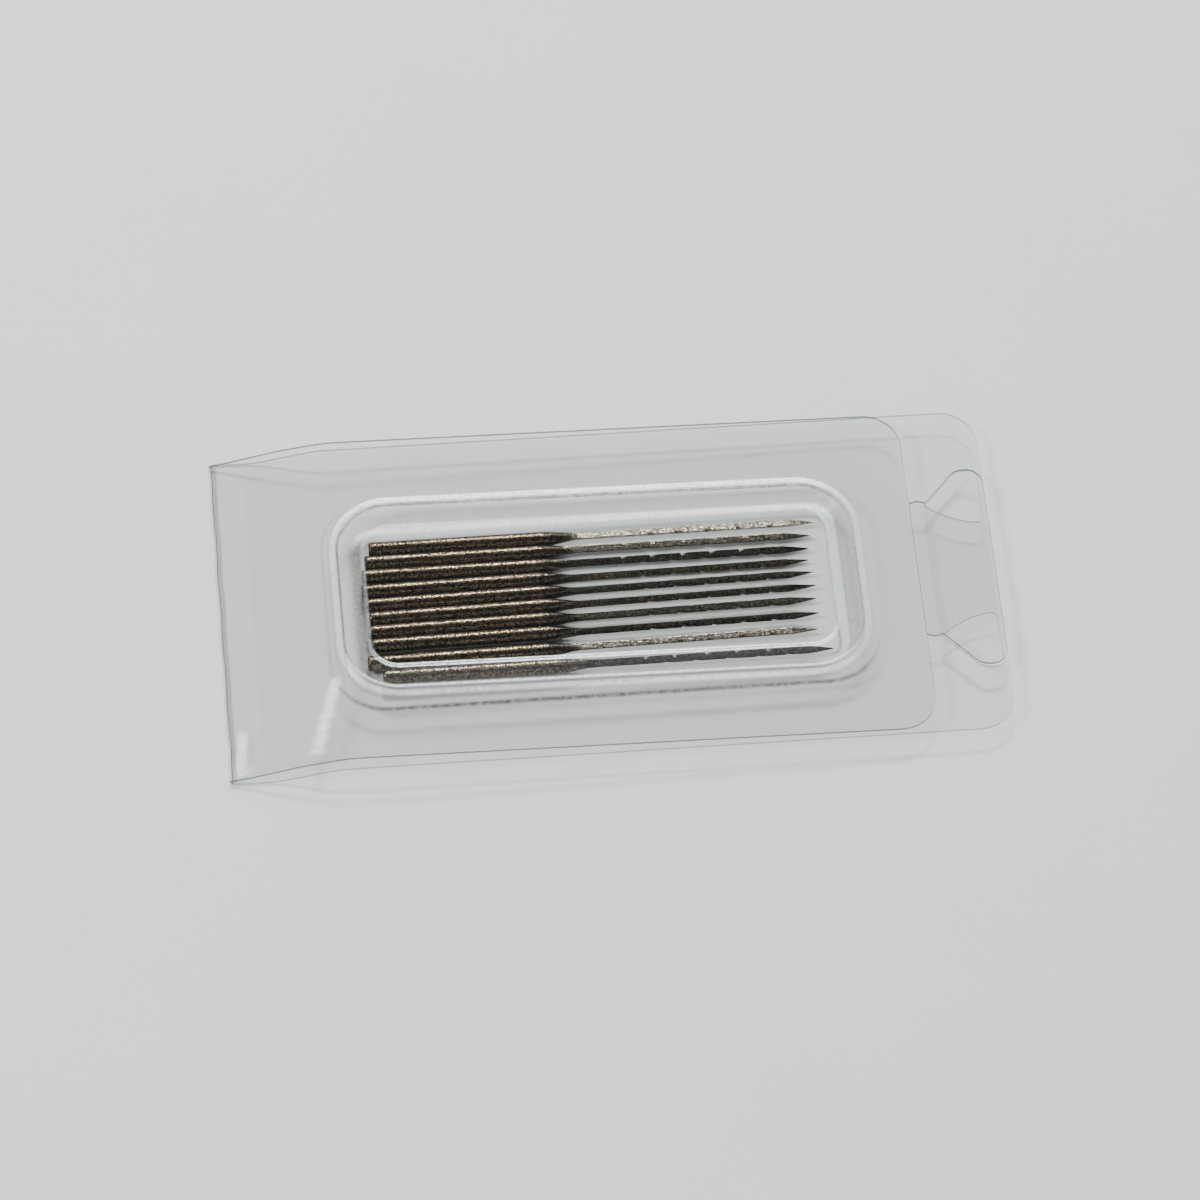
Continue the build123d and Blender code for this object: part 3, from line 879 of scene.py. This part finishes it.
def table_card():
    """Matt white card of the table top, pressed smooth and very faintly mottled."""
    m = new_material("matt white table card")
    place = add_node(m, "ShaderNodeTexCoord")
    mottle = add_node(m, "ShaderNodeTexNoise", Vector=(place, "Object"), Scale=60.0, Detail=6.0)
    colour = add_node(m, "ShaderNodeMix", {"data_type": "RGBA"}, i0=(mottle, 0), i6=srgb("#dcdde0"),
                      i7=srgb("#e0e1e3"))
    card = add_node(m, "ShaderNodeBsdfPrincipled", Base_Color=(colour, 2), Roughness=0.9)
    add_node(m, "ShaderNodeOutputMaterial", Surface=(card, 0))
    return m


# Name, colour and opacity of the cut edges: the cover's grey is painted shade, the tray sheet's paler
# grey painted light
UPPER_EDGE = ("die-cut edge of the cover", "#464a49", 0.7)
LOWER_EDGE = ("die-cut edge of the tray sheet", "#a4aaa9", 0.5)


def dress_film(piece, edge):
    """Give a film piece its clear faces and its cut edge, in the two slots that thicken() uses."""
    named = bpy.data.materials.get
    face = "clear PVC film"
    tint = bpy.context.scene.wallet_colours.tint
    piece.data.materials.append(named(face) or clear_film(face, tint))
    piece.data.materials.append(named(edge[0]) or cut_edge(*edge))


class WALLET_OT_film(bpy.types.Operator):
    """Build the folded film: tray, fold, cover and lock tab"""

    bl_idname = "wallet.film"
    bl_label = "Film"

    def execute(self, context):
        """Make each film piece, put it in its CAD node's place and dress it."""
        tray = make_tray_film()
        dress_film(tray, LOWER_EDGE)
        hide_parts("tray_sheet")
        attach(tray, "tray")
        cover = make_cover_film()
        dress_film(cover, UPPER_EDGE)
        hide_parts("cover_sheet")
        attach(cover, "cover")
        tab = make_tab_film()
        dress_film(tab, UPPER_EDGE)
        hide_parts("lock_tab")
        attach(tab, "tab")
        fold = make_fold_bend()
        dress_film(fold, UPPER_EDGE)
        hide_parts("fold_film")
        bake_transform(fold)
        return {"FINISHED"}


class WALLET_OT_needles(bpy.types.Operator):
    """Build the ten felting needles"""

    bl_idname = "wallet.needles"
    bl_label = "Needles"

    def execute(self, context):
        """Make each needle in its CAD node's place."""
        steel = needle_steel()
        nodes = sorted(name for name in frame["nodes"] if name.startswith("needle_"))
        for index, node in enumerate(nodes):
            needle = make_needle(index, node)
            needle.data.materials.append(steel)
            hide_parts(node)
            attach(needle, node)
        return {"FINISHED"}


# Name, place and size of each soft light, in metres; its power is one of the stage's settings
LIGHTS = (
    ("key", (-0.12, 0.38, 0.73), 0.6), ("side", (-0.56, -0.1, 0.64), 0.2),
    ("gleam", (0.06, 0.58, 0.60), 0.12), ("window", (0.1, 0.85, 0.30), 0.5),
    ("fill", (0.15, -0.80, 0.38), 0.5))
TABLE_HALF = 1.5


class WALLET_OT_stage(bpy.types.Operator):
    """Set up the table, the soft lights and the camera"""

    bl_idname = "wallet.stage"
    bl_label = "Stage"

    def execute(self, context):
        """Make the table, the room's faint light, the five soft lights and the camera."""
        sizes = context.scene.wallet_stage
        mesh = bpy.data.meshes.new("table_top")
        corners = [(x * TABLE_HALF, y * TABLE_HALF, 0) for x, y in ((-1, -1), (1, -1), (1, 1), (-1, 1))]
        mesh.from_pydata(corners, [], [(0, 1, 2, 3)])
        table = bpy.data.objects.new("table_top", mesh)
        context.scene.collection.objects.link(table)
        mesh.materials.append(table_card())
        world = bpy.data.worlds.new("room")
        world.use_nodes = True
        walls = world.node_tree.nodes["Background"]
        walls.inputs["Color"].default_value = (0.9, 0.95, 1.0, 1)
        walls.inputs["Strength"].default_value = 0.13
        context.scene.world = world
        for name, place, size in LIGHTS:
            add_light(name, place, size, getattr(sizes, f"{name}_power"))
        set_camera(sizes)
        return {"FINISHED"}


def add_light(name, place, size, power):
    """Soft square light that points at the wallet."""
    data = bpy.data.lights.new(name, "AREA")
    data.size = size
    data.energy = power
    lamp = bpy.data.objects.new(name, data)
    lamp.location = place
    lamp.rotation_euler = (-Vector(place)).to_track_quat("-Z", "Y").to_euler()
    bpy.context.scene.collection.objects.link(lamp)


def set_camera(sizes):
    """Camera of the photograph: from the near side, high, turned a little about its own axis.

    It looks at a place near the wallet's middle, azimuth off +Y, elevation down, roll about itself.
    """
    azimuth, elevation, roll = radians(7.58), radians(57), radians(-2.81)
    target = Vector((-0.67, 0.02, 0)) * MM
    away = Vector((sin(azimuth), cos(azimuth), 0))
    forward = away * cos(elevation) - Vector((0, 0, sin(elevation)))
    right = Vector((cos(azimuth), -sin(azimuth), 0))
    up = right.cross(forward)
    turned_right = right * cos(roll) - up * sin(roll)
    turned_up = right * sin(roll) + up * cos(roll)
    data = bpy.data.cameras.new("camera")
    data.sensor_width = 36
    data.lens = sizes.camera_lens
    data.clip_start = 0.01
    camera = bpy.data.objects.new("camera", data)
    rows = Matrix((turned_right, turned_up, -forward)).transposed().to_4x4()
    rows.translation = target - forward * sizes.camera_distance
    camera.matrix_world = rows
    bpy.context.scene.collection.objects.link(camera)
    bpy.context.scene.camera = camera


class WALLET_PT_panel(bpy.types.Panel):
    """Sizes, colours and steps of the wallet"""

    bl_idname = "WALLET_PT_panel"
    bl_label = "Felting needle wallet"
    bl_space_type = "VIEW_3D"
    bl_region_type = "UI"
    bl_category = "Wallet"

    def draw(self, context):
        """List the settings, then the operators in order."""
        for settings in (context.scene.wallet_film, context.scene.wallet_colours,
                         context.scene.wallet_needles, context.scene.wallet_stage):
            box = self.layout.box()
            for name in settings.bl_rna.properties.keys():
                if name not in ("rna_type", "name"):
                    box.prop(settings, name)
        for step in ("wallet.film", "wallet.needles", "wallet.stage"):
            self.layout.operator(step)


CLASSES = (FilmSizes, FilmColours, NeedleSizes, StageSizes, WALLET_OT_film, WALLET_OT_needles,
           WALLET_OT_stage, WALLET_PT_panel)


def register():
    """Add the classes and their settings to the scene."""
    for item in CLASSES:
        bpy.utils.register_class(item)
    bpy.types.Scene.wallet_film = PointerProperty(type=FilmSizes)
    bpy.types.Scene.wallet_colours = PointerProperty(type=FilmColours)
    bpy.types.Scene.wallet_needles = PointerProperty(type=NeedleSizes)
    bpy.types.Scene.wallet_stage = PointerProperty(type=StageSizes)


def unregister():
    """Take the settings and the classes away again."""
    for name in ("wallet_film", "wallet_colours", "wallet_needles", "wallet_stage"):
        delattr(bpy.types.Scene, name)
    for item in reversed(CLASSES):
        bpy.utils.unregister_class(item)


def main():
    """Build everything in order."""
    register()
    bpy.ops.wallet.stage()
    bpy.ops.wallet.film()
    bpy.ops.wallet.needles()


if __name__ == "__main__":
    main()
